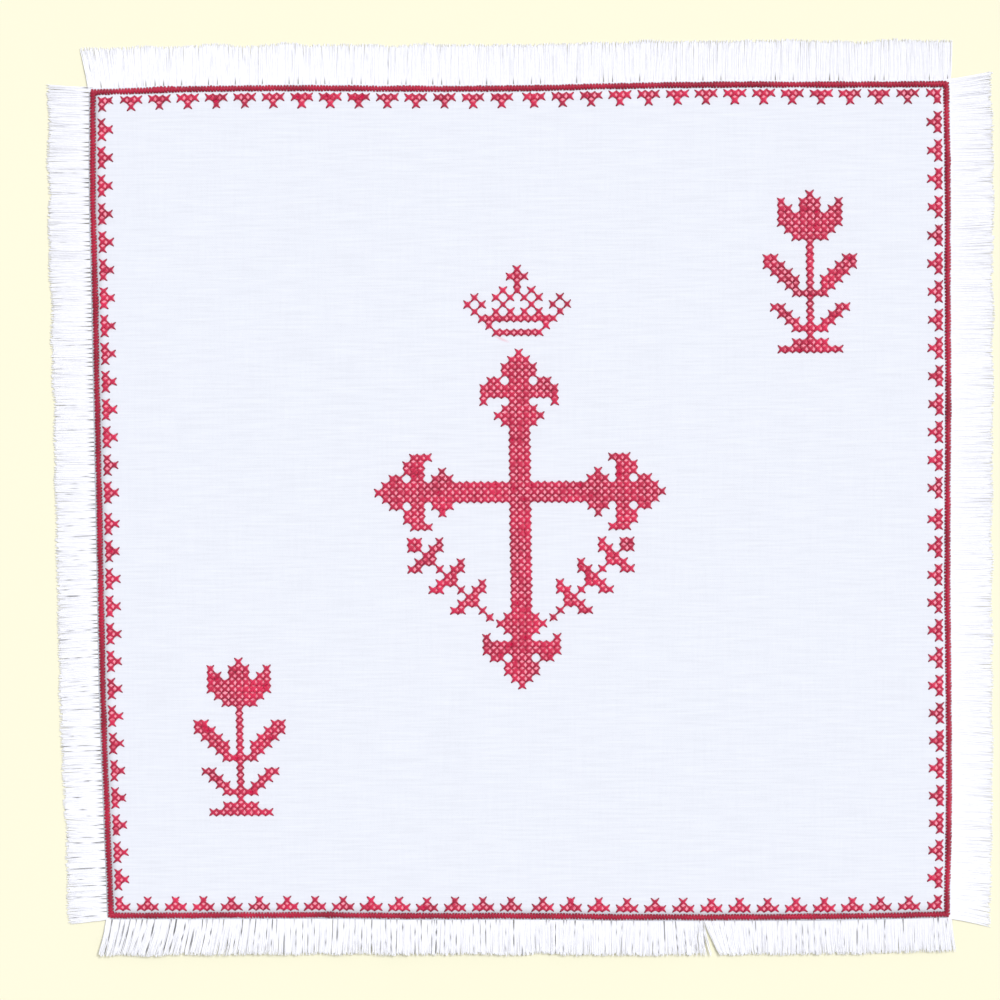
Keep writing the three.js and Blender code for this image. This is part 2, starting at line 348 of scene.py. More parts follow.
class Tree:
    """A short way to write a node tree. An input is fed a plain value or another node's output."""

    def __init__(self, tree):
        self.tree = tree

    @classmethod
    def group(cls, name, kind, inputs, outputs):
        """A new node group. An input has its default, or the name of its type where it has none."""
        tree = bpy.data.node_groups.new(name, kind)
        for title, value in inputs.items():
            typed = isinstance(value, str)
            socket_type = value if typed else SOCKET_TYPES[type(value)]
            socket = tree.interface.new_socket(title, socket_type=f"NodeSocket{socket_type}")
            if not typed:
                socket.default_value = value
        for title, socket_type in outputs.items():
            tree.interface.new_socket(title, in_out="OUTPUT", socket_type=f"NodeSocket{socket_type}")
        made = cls(tree)
        made.source = tree.nodes.new("NodeGroupInput")
        made.sink = tree.nodes.new("NodeGroupOutput")
        return made

    def input(self, name):
        return Number(self, self.source.outputs[name])

    def output(self, name, value):
        self.feed(self.sink.inputs[name], value)

    def feed(self, socket, value):
        value = value.socket if isinstance(value, Number) else value
        if isinstance(value, bpy.types.NodeSocket):
            self.tree.links.new(value, socket)
        else:
            socket.default_value = value

    def fill(self, node, inputs):
        for key, value in inputs.items():
            self.feed(node.inputs[key], value)

    def node(self, kind, inputs=None, output=0, **properties):
        """Adds a node with its properties and inputs, and returns one of its outputs."""
        node = self.tree.nodes.new(kind)
        for name, value in properties.items():
            setattr(node, name, value)
        self.fill(node, inputs or {})
        return Number(self, node.outputs[output])

    def math(self, operation, *values):
        return self.node("ShaderNodeMath", dict(enumerate(values)), operation=operation)

    def vector(self, operation, *values):
        return self.node("ShaderNodeVectorMath", dict(enumerate(values)), operation=operation)

    def total(self, *vectors):
        return reduce(lambda so_far, vector: self.vector("ADD", so_far, vector), vectors)

    def scaled(self, vector, factor):
        inputs = {0: vector, "Scale": factor}
        return self.node("ShaderNodeVectorMath", inputs, operation="SCALE")

    def combine(self, x, y, z):
        return self.node("ShaderNodeCombineXYZ", {0: x, 1: y, 2: z})

    def noise(self, place, scale, detail=0.0, dimensions="3D"):
        """Smooth noise from -1 to 1."""
        key = "W" if dimensions == "1D" else "Vector"
        inputs = {key: place, "Scale": scale, "Detail": detail}
        return self.node("ShaderNodeTexNoise", inputs, noise_dimensions=dimensions) * 2 - 1

    def noise_vector(self, place, scale, reach):
        """A vector that wanders smoothly over the place, by up to about its reach."""
        noise = self.node(
            "ShaderNodeTexNoise", {"Vector": place, "Scale": scale, "Detail": 0.0}, output="Color"
        )
        return self.scaled(self.vector("SUBTRACT", noise, (0.5, 0.5, 0.5)), reach * 2)

    def random(self, low, high, seed, identity=None):
        inputs = {2: low, 3: high, "Seed": seed}
        if identity is not None:
            inputs["ID"] = identity
        return self.node("FunctionNodeRandomValue", inputs, output=1, data_type="FLOAT")


def settings(name):
    return getattr(bpy.context.scene, f"cover_{name}")


def spline_at(values, share):
    """A smooth curve through even steps of values, at shares of its length from 0 to 1."""
    values = np.asarray(values, float)
    ends = np.concatenate([values[:1], values, values[-1:], values[-1:]])
    place = np.clip(share, 0, 1) * (len(values) - 1)
    step = np.minimum(place.astype(int), len(values) - 2)
    t = place - step
    before, here, after, later = (ends[step + shift] for shift in range(4))
    slope_here = (after - before) / 2
    slope_after = (later - here) / 2
    cubic = 2 * here - 2 * after + slope_here + slope_after
    square = -3 * here + 3 * after - 2 * slope_here - slope_after
    return ((cubic * t + square) * t + slope_here) * t + here


def turned(x, y, degrees):
    """Points turned about the middle of the work, as an array with a row for each."""
    x, y = np.broadcast_arrays(np.asarray(x, float), np.asarray(y, float))
    angle = math.radians(degrees)
    return np.stack(
        [x * math.cos(angle) - y * math.sin(angle), x * math.sin(angle) + y * math.cos(angle)], -1
    )


class Side:
    """One side of the work: places along it and out from it, in the work's own plan."""

    def __init__(self, name):
        cloth = settings("cloth")
        upright = name in ("left", "right")
        self.name = name
        self.turn = SIDES[name]["turn"]
        self.half = (cloth.height if upright else cloth.width) / 2
        self.reach = (cloth.width if upright else cloth.height) / 2

    def bow(self, along):
        share = (np.asarray(along, float) / self.half + 1) / 2
        return spline_at(SIDES[self.name]["bow"], share) * MM

    def line(self, steps, out, end):
        """A line that follows the side, out from it, and stops at an end distance past its corners."""
        along = np.linspace(-1, 1, steps) * (self.half + end)
        return turned(along, self.reach + self.bow(along) + out, self.turn)


def seam_inset():
    """Distance from the edging's outside to the edge of the cloth's panel, under its middle."""
    return (settings("edging").width + PIECE_GAP) / 2


def pulled(plan):
    """Points of the work's plan, pulled a little out of square by its corners."""
    cloth = settings("cloth")
    share = plan / (cloth.width, cloth.height) + 0.5
    across, up = share[:, :1], share[:, 1:]
    lower, upper = (left * (1 - across) + right * across for left, right in np.array(CORNER_PULLS))
    return plan + (lower * (1 - up) + upper * up) * MM


def work_origin():
    """Where the middle of the work lies in the frame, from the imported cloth."""
    low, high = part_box("cloth")
    inset = -seam_inset()
    sides = [Side(name).line(steps=97, out=inset, end=inset) for name in SIDES]
    outline = pulled(np.concatenate(sides))
    middle = (outline.min(0) + outline.max(0)) / 2
    return np.array([(low.x + high.x) / 2, (low.y + high.y) / 2]) - middle


def in_frame(plan, height=0.0):
    """Points of the work's plan, in the frame and at one height above the table."""
    plan = pulled(np.asarray(plan, float)) + work_origin()
    return np.column_stack([plan, np.full(len(plan), height)])


def mirrored_chart(half_rows):
    return tuple(row[:0:-1] + row for row in half_rows)


def chart_cells(chart):
    """The column and row of each stitch of a chart, at its middle."""
    return np.array(
        [
            (column + 0.5, row + 0.5)
            for row, line in enumerate(chart)
            for column, mark in enumerate(line)
            if mark == "#"
        ]
    )


def stitch_size():
    cloth = settings("cloth")
    return np.array([cloth.width, cloth.height]) / CHART_STITCHES


def trefoil_places():
    """The middle of each stitch of the border, side by side."""
    places = []
    for name in SIDES:
        side = Side(name)
        along = 2 * side.half / CHART_STITCHES
        across = 2 * side.reach / CHART_STITCHES
        middles = FIRST_TREFOIL + TREFOIL_REPEAT * np.arange(TREFOILS_PER_HALF)
        half_trefoil = len(TREFOIL[0]) / 2
        motifs = [(TREFOIL, middle - half_trefoil, middle) for middle in (*middles, *-middles)]
        corner_start = BORDER_OUTSIDE - len(CORNER_TREFOIL[0])
        motifs.append((CORNER_TREFOIL, corner_start, CHART_STITCHES / 2))
        for chart, start, middle in motifs:
            column, row = chart_cells(chart).T
            edge = (BORDER_OUTSIDE - row) * across + side.bow(middle * along)
            places.append(turned((start + column) * along, edge, side.turn))
    return np.concatenate(places)


def cross_places():
    """The middle of each stitch of the flowered cross, each once."""
    chart = mirrored_chart(HALF_FLOWERED_END)
    middle_column = len(chart[0]) // 2
    cells = set()
    for turn, reach in CROSS_ARMS:
        end = [(int(column) - middle_column, reach - int(row)) for column, row in chart_cells(chart)]
        bar = [
            (column, out)
            for column in CROSS_BAR_CELLS
            for out in range(CROSS_BAR_CELLS[0], reach - len(chart) + 1)
        ]
        column, out = np.array(end + bar).T
        cells.update(map(tuple, np.rint(turned(column, out, turn)).astype(int).tolist()))
    return (np.array(sorted(cells)) + CROSS_MIDDLE) * stitch_size()


def upright_places(half_rows, top):
    """The middle of each stitch of a mirrored chart, placed by the middle of its top edge."""
    chart = mirrored_chart(half_rows)
    column, row = chart_cells(chart).T
    plan = np.stack([top[0] + column - len(chart[0]) / 2, top[1] - row], -1)
    return plan * stitch_size()


def sprig_places(hand):
    """The middle of each stitch of a sprig, on the right hand of the cross at 1 or the left at -1."""
    column, row = chart_cells(SPRIG).T
    plan = np.stack([CROSS_MIDDLE[0] + hand * (SPRIG_TOP[0] + column), SPRIG_TOP[1] - row], -1)
    return plan * stitch_size()


def link(obj):
    bpy.context.scene.collection.objects.link(obj)
    return obj


def bare_mesh(name, points, edges=()):
    mesh = bpy.data.meshes.new(name)
    mesh.from_pydata(points.tolist(), edges, [])
    return link(bpy.data.objects.new(name, mesh))


def line_mesh(name, lines):
    """An object of open lines, each through its own points."""
    edges = []
    start = 0
    for line in lines:
        edges += [(start + step, start + step + 1) for step in range(len(line) - 1)]
        start += len(line)
    return bare_mesh(name, np.concatenate(lines), edges)


def grow(name, host, tree, values):
    """Runs a Geometry Nodes tree on a host and keeps the result as a plain mesh piece."""
    modifier = host.modifiers.new(name, "NODES")
    modifier.node_group = tree
    for item in tree.interface.items_tree:
        if item.item_type == "SOCKET" and item.in_out == "INPUT" and item.name in values:
            modifier[item.identifier] = values[item.name]
    evaluated = host.evaluated_get(bpy.context.evaluated_depsgraph_get())
    mesh = bpy.data.meshes.new_from_object(evaluated)
    bpy.data.objects.remove(host)
    mesh.name = name
    if not mesh.polygons:
        raise RuntimeError(f"{name} came out empty")
    return link(bpy.data.objects.new(name, mesh))


def keep_piece(piece, slot, *nodes):
    """Hands a finished piece to the frame."""
    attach(piece, "root")
    if nodes:
        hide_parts(*nodes)


def ends_of(tree):
    """How near a place of a strand is to its ends: 0 at its middle and 1 at either end."""
    along = tree.node("GeometryNodeSplineParameter") * 2 - 1
    return along * along


def strands_mesh(tree, curves, half_thickness, sides, taper, swell=0.0):
    """Gives curves a round section. It tapers towards their ends, and swells and shrinks slowly."""
    swell_scale = 70.0
    inputs = {"Resolution": sides, "Radius": half_thickness}
    profile = tree.node("GeometryNodeCurvePrimitiveCircle", inputs)
    scale = 1 - ends_of(tree) * taper
    scale = scale + tree.noise(tree.node("GeometryNodeInputPosition"), swell_scale) * swell
    mesh = tree.node(
        "GeometryNodeCurveToMesh",
        {"Curve": curves, "Profile Curve": profile, "Scale": scale, "Fill Caps": True},
    )
    return tree.node("GeometryNodeSetShadeSmooth", {"Geometry": mesh})


def joined(tree, *parts):
    whole = tree.node("GeometryNodeJoinGeometry")
    for part in parts:
        tree.feed(whole.socket.node.inputs[0], part)
    return whole


def marked(tree, geometry, mark):
    """Keeps a mark on the faces of a mesh, so that they can be told from the rest of their piece."""
    return tree.node(
        "GeometryNodeStoreNamedAttribute",
        {"Geometry": geometry, "Name": mark, "Value": True},
        data_type="BOOLEAN",
        domain="FACE",
    )


def finished(tree, geometry, material, mark, marked_material):
    """The whole of a piece, in one material but for its marked faces, which have the other."""
    whole = tree.node("GeometryNodeRealizeInstances", {"Geometry": geometry})
    whole = tree.node("GeometryNodeSetMaterial", {"Geometry": whole, "Material": material})
    is_marked = tree.node("GeometryNodeInputNamedAttribute", {"Name": mark}, data_type="BOOLEAN")
    return tree.node(
        "GeometryNodeSetMaterial",
        {"Geometry": whole, "Selection": is_marked, "Material": marked_material},
    )


def fuzz_tufts(tree):
    """Flat tufts of loose fibres, at the host's points and in the gaps between neighbours."""
    diamond = tree.node(
        "GeometryNodeMeshCircle", {"Vertices": 4, "Radius": tree.input("Fuzz")}, fill_type="NGON"
    )
    gaps = tree.node("GeometryNodeMeshToPoints", {"Mesh": tree.input("Geometry")}, mode="EDGES")
    middles = tree.node("GeometryNodeMeshToPoints", {"Mesh": tree.input("Geometry")})
    fuzz = tree.node(
        "GeometryNodeInstanceOnPoints",
        {
            "Points": joined(tree, gaps, middles),
            "Instance": marked(tree, diamond, "fuzz"),
            "Scale": tree.random(0.9, 1.3, tree.input("Seed") + 2),
        },
    )
    rise = tree.input("Fuzz Rise")
    rise = tree.combine(0.0, 0.0, tree.random(rise, rise * 2, tree.input("Seed")))
    return tree.node("GeometryNodeSetPosition", {"Geometry": fuzz, "Offset": rise})


def stitch_tree(material, fuzz_material):
    """A tree that lays a pattern of strands at each of its host's points, on fuzz that shows through
    them and at its edges, or at even steps along its host's lines, over padding laid along them."""
    tree = Tree.group(
        "Floss stitches",
        "GeometryNodeTree",
        {
            "Geometry": "Geometry", "Pattern": "Object", "Along Lines": False, "Seed": 0,
            "Pitch": 0.001, "Padding": 0.0005, "Strand": 0.0003, "Taper": 0.4, "Swell": 0.3,
            "Wander": 0.0001, "Bend": 1.6, "Bend Scale": 70.0, "Stray Scale": 420.0,
            "Slant": 0.05, "Unevenness": 0.06, "Fuzz": 0.002, "Fuzz Rise": 0.00012,
        },
        {"Geometry": "Geometry"},
    )
    place = tree.node("GeometryNodeInputPosition")
    line = tree.node("GeometryNodeMeshToCurve", {"Mesh": tree.input("Geometry")})
    bend = tree.input("Wander") * tree.input("Bend")
    bend = tree.noise_vector(place, tree.input("Bend Scale"), bend)
    line = tree.node("GeometryNodeSetPosition", {"Geometry": line, "Offset": bend})
    spaced = tree.node(
        "GeometryNodeResampleCurve", {"Curve": line, "Length": tree.input("Pitch")}, mode="LENGTH"
    )
    points = tree.node(
        "GeometryNodeSwitch",
        {"Switch": tree.input("Along Lines"), "False": tree.input("Geometry"), "True": spaced},
        input_type="GEOMETRY",
    )
    pattern = tree.node("GeometryNodeObjectInfo", {"Object": tree.input("Pattern")}, output="Geometry")
    strands = tree.node("GeometryNodeMeshToCurve", {"Mesh": pattern})
    along = tree.node(
        "FunctionNodeAlignRotationToVector",
        {"Vector": tree.node("GeometryNodeInputTangent")},
        axis="X",
        pivot_axis="Z",
    )
    slant = tree.input("Slant")
    turn = tree.combine(0.0, 0.0, tree.random(slant * -1, slant, tree.input("Seed")))
    rotation = tree.node(
        "FunctionNodeRotateRotation",
        {"Rotation": along, "Rotate By": tree.node("FunctionNodeEulerToRotation", {"Euler": turn})},
        rotation_space="LOCAL",
    )
    uneven = tree.input("Unevenness")
    size = tree.node(
        "FunctionNodeRandomValue",
        {0: 1 - uneven, 1: 1 + uneven, "Seed": tree.input("Seed") + 1},
        data_type="FLOAT_VECTOR",
    )
    laid = tree.node(
        "GeometryNodeInstanceOnPoints",
        {"Points": points, "Instance": strands, "Rotation": rotation, "Scale": size},
    )
    realised = tree.node("GeometryNodeRealizeInstances", {"Geometry": laid})
    stray = tree.noise_vector(place, tree.input("Stray Scale"), tree.input("Wander"))
    strayed = tree.node("GeometryNodeSetPosition", {"Geometry": realised, "Offset": stray})
    # How near each point is to its strand's ends, which the floss's painted shade follows.
    with_ends = tree.node(
        "GeometryNodeStoreNamedAttribute",
        {"Geometry": strayed, "Name": STRAND_END, "Value": ends_of(tree)},
        data_type="FLOAT",
    )
    stitches = strands_mesh(
        tree, with_ends, tree.input("Strand"), 4, tree.input("Taper"), tree.input("Swell")
    )
    padding = strands_mesh(tree, line, tree.input("Padding"), sides=6, taper=0.0)
    under = tree.node(
        "GeometryNodeSwitch",
        {"Switch": tree.input("Along Lines"), "False": fuzz_tufts(tree), "True": padding},
        input_type="GEOMETRY",
    )
    whole = finished(tree, joined(tree, under, stitches), material, "fuzz", fuzz_material)
    tree.output("Geometry", whole)
    return tree.tree


def cross_pattern():
    """One cross stitch: two legs, each of two strands that twist a little and close at their ends."""
    stitch = settings("stitch")
    half = stitch_size() / 2 * LEG_REACH
    steps = np.linspace(-1, 1, len(LOWER_LEG_LIFTS))
    strands = []
    for lean, lifts in ((-1, LOWER_LEG_LIFTS), (1, UPPER_LEG_LIFTS)):
        for phase in (0, math.pi):
            twist = phase + steps * LEG_TWIST
            apart = stitch.apart * (1 - LEG_CLOSING * steps**2)
            aside = apart * np.cos(twist)
            diagonal = np.stack([steps * half[0], lean * steps * half[1]], -1)
            normal = np.array([-lean, 1]) / math.sqrt(2)
            height = np.array(lifts) * MM + apart * TWIST_HEIGHT * np.sin(twist)
            strands.append(np.column_stack([diagonal + aside[:, None] * normal, height]))
    return line_mesh("cross_pattern", strands)


def overcast_pattern():
    """One overcast stitch: two strands side by side that arch over the edge of the work."""
    edging = settings("edging")
    angle = np.linspace(0, math.pi, 7)
    strands = []
    for along in (-OVERCAST_ASIDE, OVERCAST_ASIDE):
        across = np.cos(angle) * edging.span / 2
        height = np.sin(angle) * edging.rise - OVERCAST_SINK * MM
        slant = along * edging.pitch - OVERCAST_SLANT * across
        strands.append(np.column_stack([slant, across, height]))
    return line_mesh("overcast_pattern", strands)


def heading_strip(tree, line, side_length):
    """The narrow strip of unfrayed cloth that a side's threads leave."""
    past = tree.input("Past Corner")
    between_corners = tree.node(
        "GeometryNodeTrimCurve", {"Curve": line, 4: past, 5: side_length - past}, mode="LENGTH"
    )
    strip = tree.node(
        "GeometryNodeCurvePrimitiveQuadrilateral",
        {"Width": tree.input("Heading"), "Height": tree.input("Heading Height")},
    )
    strip = tree.node(
        "GeometryNodeCurveToMesh",
        {"Curve": between_corners, "Profile Curve": strip, "Fill Caps": True},
    )
    rise = tree.combine(0.0, 0.0, tree.input("Heading Rise"))
    return tree.node("GeometryNodeSetPosition", {"Geometry": strip, "Offset": rise})


def fringe_tree(thread_material, heading_material):
    """A tree that frays the side whose line it is given: threads that lie out from it, in locks."""
    tree = Tree.group(
        "Frayed side",
        "GeometryNodeTree",
        {
            "Geometry": "Geometry", "Threads": 100, "Thread Points": 8, "Seed": 0,
            "Thread": 0.0002, "Start Length": 0.017, "End Length": 0.017, "Unevenness": 0.0008,
            "Raggedness": 0.0009, "Bundle": 0.002, "Lock": 0.0027, "Lock Wander": 0.0014,
            "Root Parting": 1.0, "Start Parting": 1.0, "End Parting": 1.0, "Parting Threshold": 0.45,
            "Root Gap": 0.22, "Lock Gap": 0.07, "Steady Gap": 0.025, "Edge From": 0.86,
            "Patches Along": 220.0, "Patches Out": 7.0,
            "Past Corner": 0.0009, "Heading": 0.0017, "Heading Height": 0.00075, "Heading Rise": 0.0005,
            "Sweep": 0.0, "Swept At": 0.0, "Sweep Span": 0.045,
            "Notch": 0.0, "Notched At": 0.0, "Notch Span": 0.012, "Stray Span": 0.003,
            "Start Fan": 0.0, "End Fan": 0.0, "Fan Span": 0.028,
            "Drift": 0.0012, "Stray": 0.00016, "Curl": 0.00012, "Wiggle": 0.00014,
            "Root Depth": 0.0008, "Root Height": 0.0006, "Rest Height": 0.0003, "Layers": 0.0003,
            "Start Lift": 0.0, "End Lift": 0.0,
        },
        {"Geometry": "Geometry"},
    )
    seed = tree.input("Seed")
    line = tree.node("GeometryNodeMeshToCurve", {"Mesh": tree.input("Geometry")})
    side_length = tree.node("GeometryNodeCurveLength", {"Curve": line})

    straight = tree.node("GeometryNodeCurvePrimitiveLine")
    thread = tree.node(
        "GeometryNodeResampleCurve", {"Curve": straight, "Count": tree.input("Thread Points")}
    )
    copies = tree.node(
        "GeometryNodeDuplicateElements",
        {"Geometry": thread, "Amount": tree.input("Threads")},
        domain="SPLINE",
    )
    which = copies.beside("Duplicate Index")
    t = tree.node("GeometryNodeSplineParameter")

    place = (which + tree.random(0.2, 0.8, seed, which)) / tree.input("Threads") * side_length
    root = tree.node(
        "GeometryNodeSampleCurve", {"Curves": line, "Length": place}, output="Position", mode="LENGTH"
    )
    tangent = root.beside("Tangent")
    outward = tree.vector("CROSS_PRODUCT", (0.0, 0.0, 1.0), tangent)

    def along_noise(size, shift):
        """Noise along the side, whose rises and falls are about this size."""
        return tree.noise(place + seed + shift, 1 / size, dimensions="1D")

    def either_way(name, shift):
        """A random length for each thread, from this input's value one way to the other way."""
        return tree.random(tree.input(name) * -1, tree.input(name), seed + shift, which)

    def at_place(name):
        """An input that has one value at the start of the side and another at its end."""
        share = place / side_length
        return tree.input(f"Start {name}") * (1 - share) + tree.input(f"End {name}") * share

    def towards(pitch, spot):
        """How far a place lies from the middle of its bundle or lock."""
        return (tree.math("FLOOR", spot / pitch) + 0.5) * pitch - spot

    def at_edge(pitch, offset):
        """How near a place is to the edge of its bundle or lock: 1 at the edge."""
        return between(tree, tree.math("ABSOLUTE", offset) / pitch * 2, tree.input("Edge From"), 1.0)

    def opened(parting, noise):
        """Whether the threads have parted here: 1 where the noise is high enough."""
        soft_edge = 0.15
        threshold = tree.input("Parting Threshold")
        return between(tree, noise - threshold + parting * threshold, 0.0, soft_edge) * parting

    # How far each thread is drawn towards its bundle near the root, and towards its lock farther out.
    bundle = towards(tree.input("Bundle"), place)
    unbundled = opened(tree.input("Root Parting"), along_noise(0.004, 1.0))
    near_root = between(tree, t, 0.26, 0.1)
    lock = towards(tree.input("Lock"), place + along_noise(0.006, 3.0) * tree.input("Lock Wander"))
    parting = at_place("Parting")
    patches = tree.combine(place * tree.input("Patches Along"), t * tree.input("Patches Out"), seed)
    unlocked = opened(parting, tree.noise(patches, 1.0))
    gathered = unlocked * tree.input("Lock Gap") + parting * tree.input("Steady Gap")
    parted = bundle * unbundled * near_root * tree.input("Root Gap") + lock * gathered
    # Painted shade: threads at the edge of a parted bundle near the root, or of a parted lock, are
    # darkened as if turned down into the gap.
    shade = tree.math(
        "MAXIMUM",
        at_edge(tree.input("Bundle"), bundle) * unbundled * near_root,
        at_edge(tree.input("Lock"), lock) * unlocked,
    )

    # How far the threads lean along the side: the sweep, the notch, the fans and their own straying.
    from_middle = place - side_length / 2
    swept = (from_middle - tree.input("Swept At")) / tree.input("Sweep Span")
    sweep = tree.input("Sweep") * tree.math("EXPONENT", swept * swept * -1)
    past_notch = tree.input("Notched At") - from_middle
    beyond = tree.math("GREATER_THAN", past_notch, 0.0)
    pushed = beyond * tree.math("EXPONENT", past_notch / tree.input("Notch Span") * -1)
    astray = (1 - beyond) * tree.math("EXPONENT", past_notch / tree.input("Stray Span"))
    astray = astray * tree.random(0.0, 1.0, seed + 6, which)
    notch = tree.input("Notch") * (pushed + astray) * -1
    fan_span = tree.input("Fan Span")
    endward = tree.math("MAXIMUM", place - side_length + fan_span, 0.0) / fan_span
    startward = tree.math("MAXIMUM", fan_span - place, 0.0) / fan_span
    fan = tree.input("End Fan") * endward ** 2 - tree.input("Start Fan") * startward ** 2
    drift = along_noise(0.022, 4.0) * tree.input("Drift")
    lean = (sweep + notch + fan + drift + either_way("Stray", 1)) * t ** 1.3
    turn = t * 5 + tree.random(0.0, 6.0, seed + 5, which)
    curl = either_way("Curl", 4) * tree.math("SINE", turn) * t
    across = parted + lean + curl

    # How far out they reach, and how high they lie.
    uneven = along_noise(0.016, 5.0) * tree.input("Unevenness")
    reach = at_place("Length") + uneven + either_way("Raggedness", 2)
    out = t * reach - tree.input("Root Depth")
    settle = (1 - t) ** 3
    layer = tree.random(0.0, tree.input("Layers"), seed + 3, which)
    rest = tree.input("Rest Height") + layer * tree.math("SINE", t * 2.9)
    height = rest + (tree.input("Root Height") - tree.input("Rest Height")) * settle
    height = height + at_place("Lift") * (1 + along_noise(0.02, 6.0) * 0.5) * t * t

    upward = tree.combine(0.0, 0.0, height)
    spot = tree.total(root, tree.scaled(tangent, across), tree.scaled(outward, out), upward)
    wiggle = tree.noise_vector(spot, 260.0, tree.input("Wiggle"))
    wiggle = tree.vector("MULTIPLY", wiggle, (1.0, 1.0, 0.3))
    laid = tree.node(
        "GeometryNodeSetPosition",
        {"Geometry": copies, "Position": tree.vector("ADD", spot, wiggle)},
    )
    # Keeps the painted shade on the threads' points, for their material.
    shaded = tree.node(
        "GeometryNodeStoreNamedAttribute",
        {"Geometry": laid, "Name": PAINTED_LOCK_SHADE, "Value": shade},
        data_type="FLOAT",
    )
    threads = strands_mesh(tree, shaded, tree.input("Thread"), sides=4, taper=0.3)
    strip = heading_strip(tree, line, side_length)
    parts = joined(tree, marked(tree, strip, "heading"), threads)
    tree.output("Geometry", finished(tree, parts, thread_material, "heading", heading_material))
    return tree.tree


def weave_group():
    """Plain weave: its threads' height, and the faint streaks of its thick and thin threads."""
    inputs = {"Vector": "Vector", "Pitch": 0.0005}
    tree = Tree.group("Plain weave", "ShaderNodeTree", inputs, {"Height": "Float", "Streak": "Float"})
    place = tree.input("Vector")
    bent = tree.total(place, tree.noise_vector(place, 90.0, 0.25 * MM))
    x = tree.node("ShaderNodeSeparateXYZ", {0: bent})
    y = x.beside("Y")
    half_turn = math.pi / tree.input("Pitch")
    warp = tree.math("SINE", x * half_turn)
    weft = tree.math("SINE", y * half_turn)
    over = tree.math("COSINE", x * half_turn) * tree.math("COSINE", y * half_turn) * 0.25
    thread_height = (warp * warp + weft * weft) * 0.35 + over
    flat = {"Scale": 1.0, "Detail": 2.0, "Roughness": 0.65}
    across = tree.vector("MULTIPLY", place, (45.0, 950.0, 0.0))
    upward = tree.vector("MULTIPLY", place, (900.0, 40.0, 0.0))
    weft_slub = tree.node("ShaderNodeTexNoise", {"Vector": across, **flat})
    warp_slub = tree.node("ShaderNodeTexNoise", {"Vector": upward, **flat})
    streak = weft_slub * 0.78 + warp_slub * 0.22
    tree.output("Height", thread_height + streak * 0.8)
    tree.output("Streak", streak)
    return tree.tree


def fibre_group():
    """Fine fibres on a strand, and the slow change of its colour along the work."""
    inputs = {"Vector": "Vector", "Fibre Scale": 4000.0, "Patch Scale": 90.0}
    tree = Tree.group("Strand fibre", "ShaderNodeTree", inputs, {"Height": "Float", "Patch": "Float"})
    place = tree.input("Vector")
    fibre = {"Vector": place, "Scale": tree.input("Fibre Scale"), "Detail": 3.0}
    patch = {"Vector": place, "Scale": tree.input("Patch Scale"), "Detail": 2.0}
    tree.output("Height", tree.node("ShaderNodeTexNoise", fibre))
    tree.output("Patch", tree.node("ShaderNodeTexNoise", patch))
    return tree.tree


def new_material(name):
    """A material, with its node tree and the place of each point of its piece."""
    material = bpy.data.materials.new(name)
    material.use_nodes = True
    tree = Tree(material.node_tree)
    return material, tree, tree.node("ShaderNodeTexCoord", output="Object")


def finish_shader(tree, inputs, bump=None):
    """Feeds a material's shader. Its bump, if any, has a strength, a depth and a height."""
    shader = tree.tree.nodes["Principled BSDF"]
    tree.fill(shader, inputs)
    if bump:
        bump = tree.node("ShaderNodeBump", dict(zip(("Strength", "Distance", "Height"), bump)))
        tree.feed(shader.inputs["Normal"], bump)


def fibrous(tree, place, fibre_scale, patch_scale):
    """The fibres of a strand at these scales."""
    inputs = {"Vector": place, "Fibre Scale": fibre_scale, "Patch Scale": patch_scale}
    group = shared(bpy.data.node_groups, "Strand fibre", fibre_group)
    return tree.node("ShaderNodeGroup", inputs, node_tree=group)


def mixed(tree, factor, first, second):
    """A colour between two, by a factor from 0 to 1."""
    node = tree.tree.nodes.new("ShaderNodeMix")
    node.data_type = "RGBA"
    tree.feed(node.inputs[0], factor)
    for socket, value in ((6, first), (7, second)):
        tree.feed(node.inputs[socket], value if isinstance(value, Number) else (*value, 1.0))
    return Number(tree, node.outputs[2])


def between(tree, value, low, high):
    """The value's share of the way from low to high, kept from 0 to 1."""
    return tree.node("ShaderNodeMapRange", {"Value": value, "From Min": low, "From Max": high})


def deeper(colour_value, share):
    return tuple(channel * share for channel in colour_value)


def cloth_material():
    """White plain weave with faint streaks, and a pale red mark under the crown."""
    cloth = settings("cloth")
    material, tree, place = new_material("white_plain_weave")
    inputs = {"Vector": place, "Pitch": cloth.thread_pitch}
    weave = tree.node("ShaderNodeGroup", inputs, node_tree=weave_group())
    streak = between(tree, weave.beside("Streak"), 0.3, 0.7)
    woven = mixed(tree, streak, deeper(cloth.white, 0.91), cloth.white)

    middle = work_origin() + np.array(STAIN["middle"]) * MM
    stretch = 1 / (np.array(STAIN["half_size"]) * MM)
    mark = tree.vector("SUBTRACT", place, (*middle, 0.0))
    turn = {"Vector": mark, "Angle": math.radians(STAIN["turn"])}
    mark = tree.node("ShaderNodeVectorRotate", turn, rotation_type="Z_AXIS")
    mark = tree.vector("MULTIPLY", mark, (*stretch, 0.0))
    spread = tree.node("ShaderNodeVectorMath", {0: mark}, output="Value", operation="LENGTH")
    stain = between(tree, spread, 1.0, 0.1) * STAIN["strength"]
    inputs = {
        "Base Color": mixed(tree, stain, woven, cloth.stain),
        "Roughness": 0.9,
        "Specular IOR Level": 0.2,
        "Sheen Weight": 0.1,
    }
    finish_shader(tree, inputs, bump=(0.35, 0.12 * MM, weave))
    return material


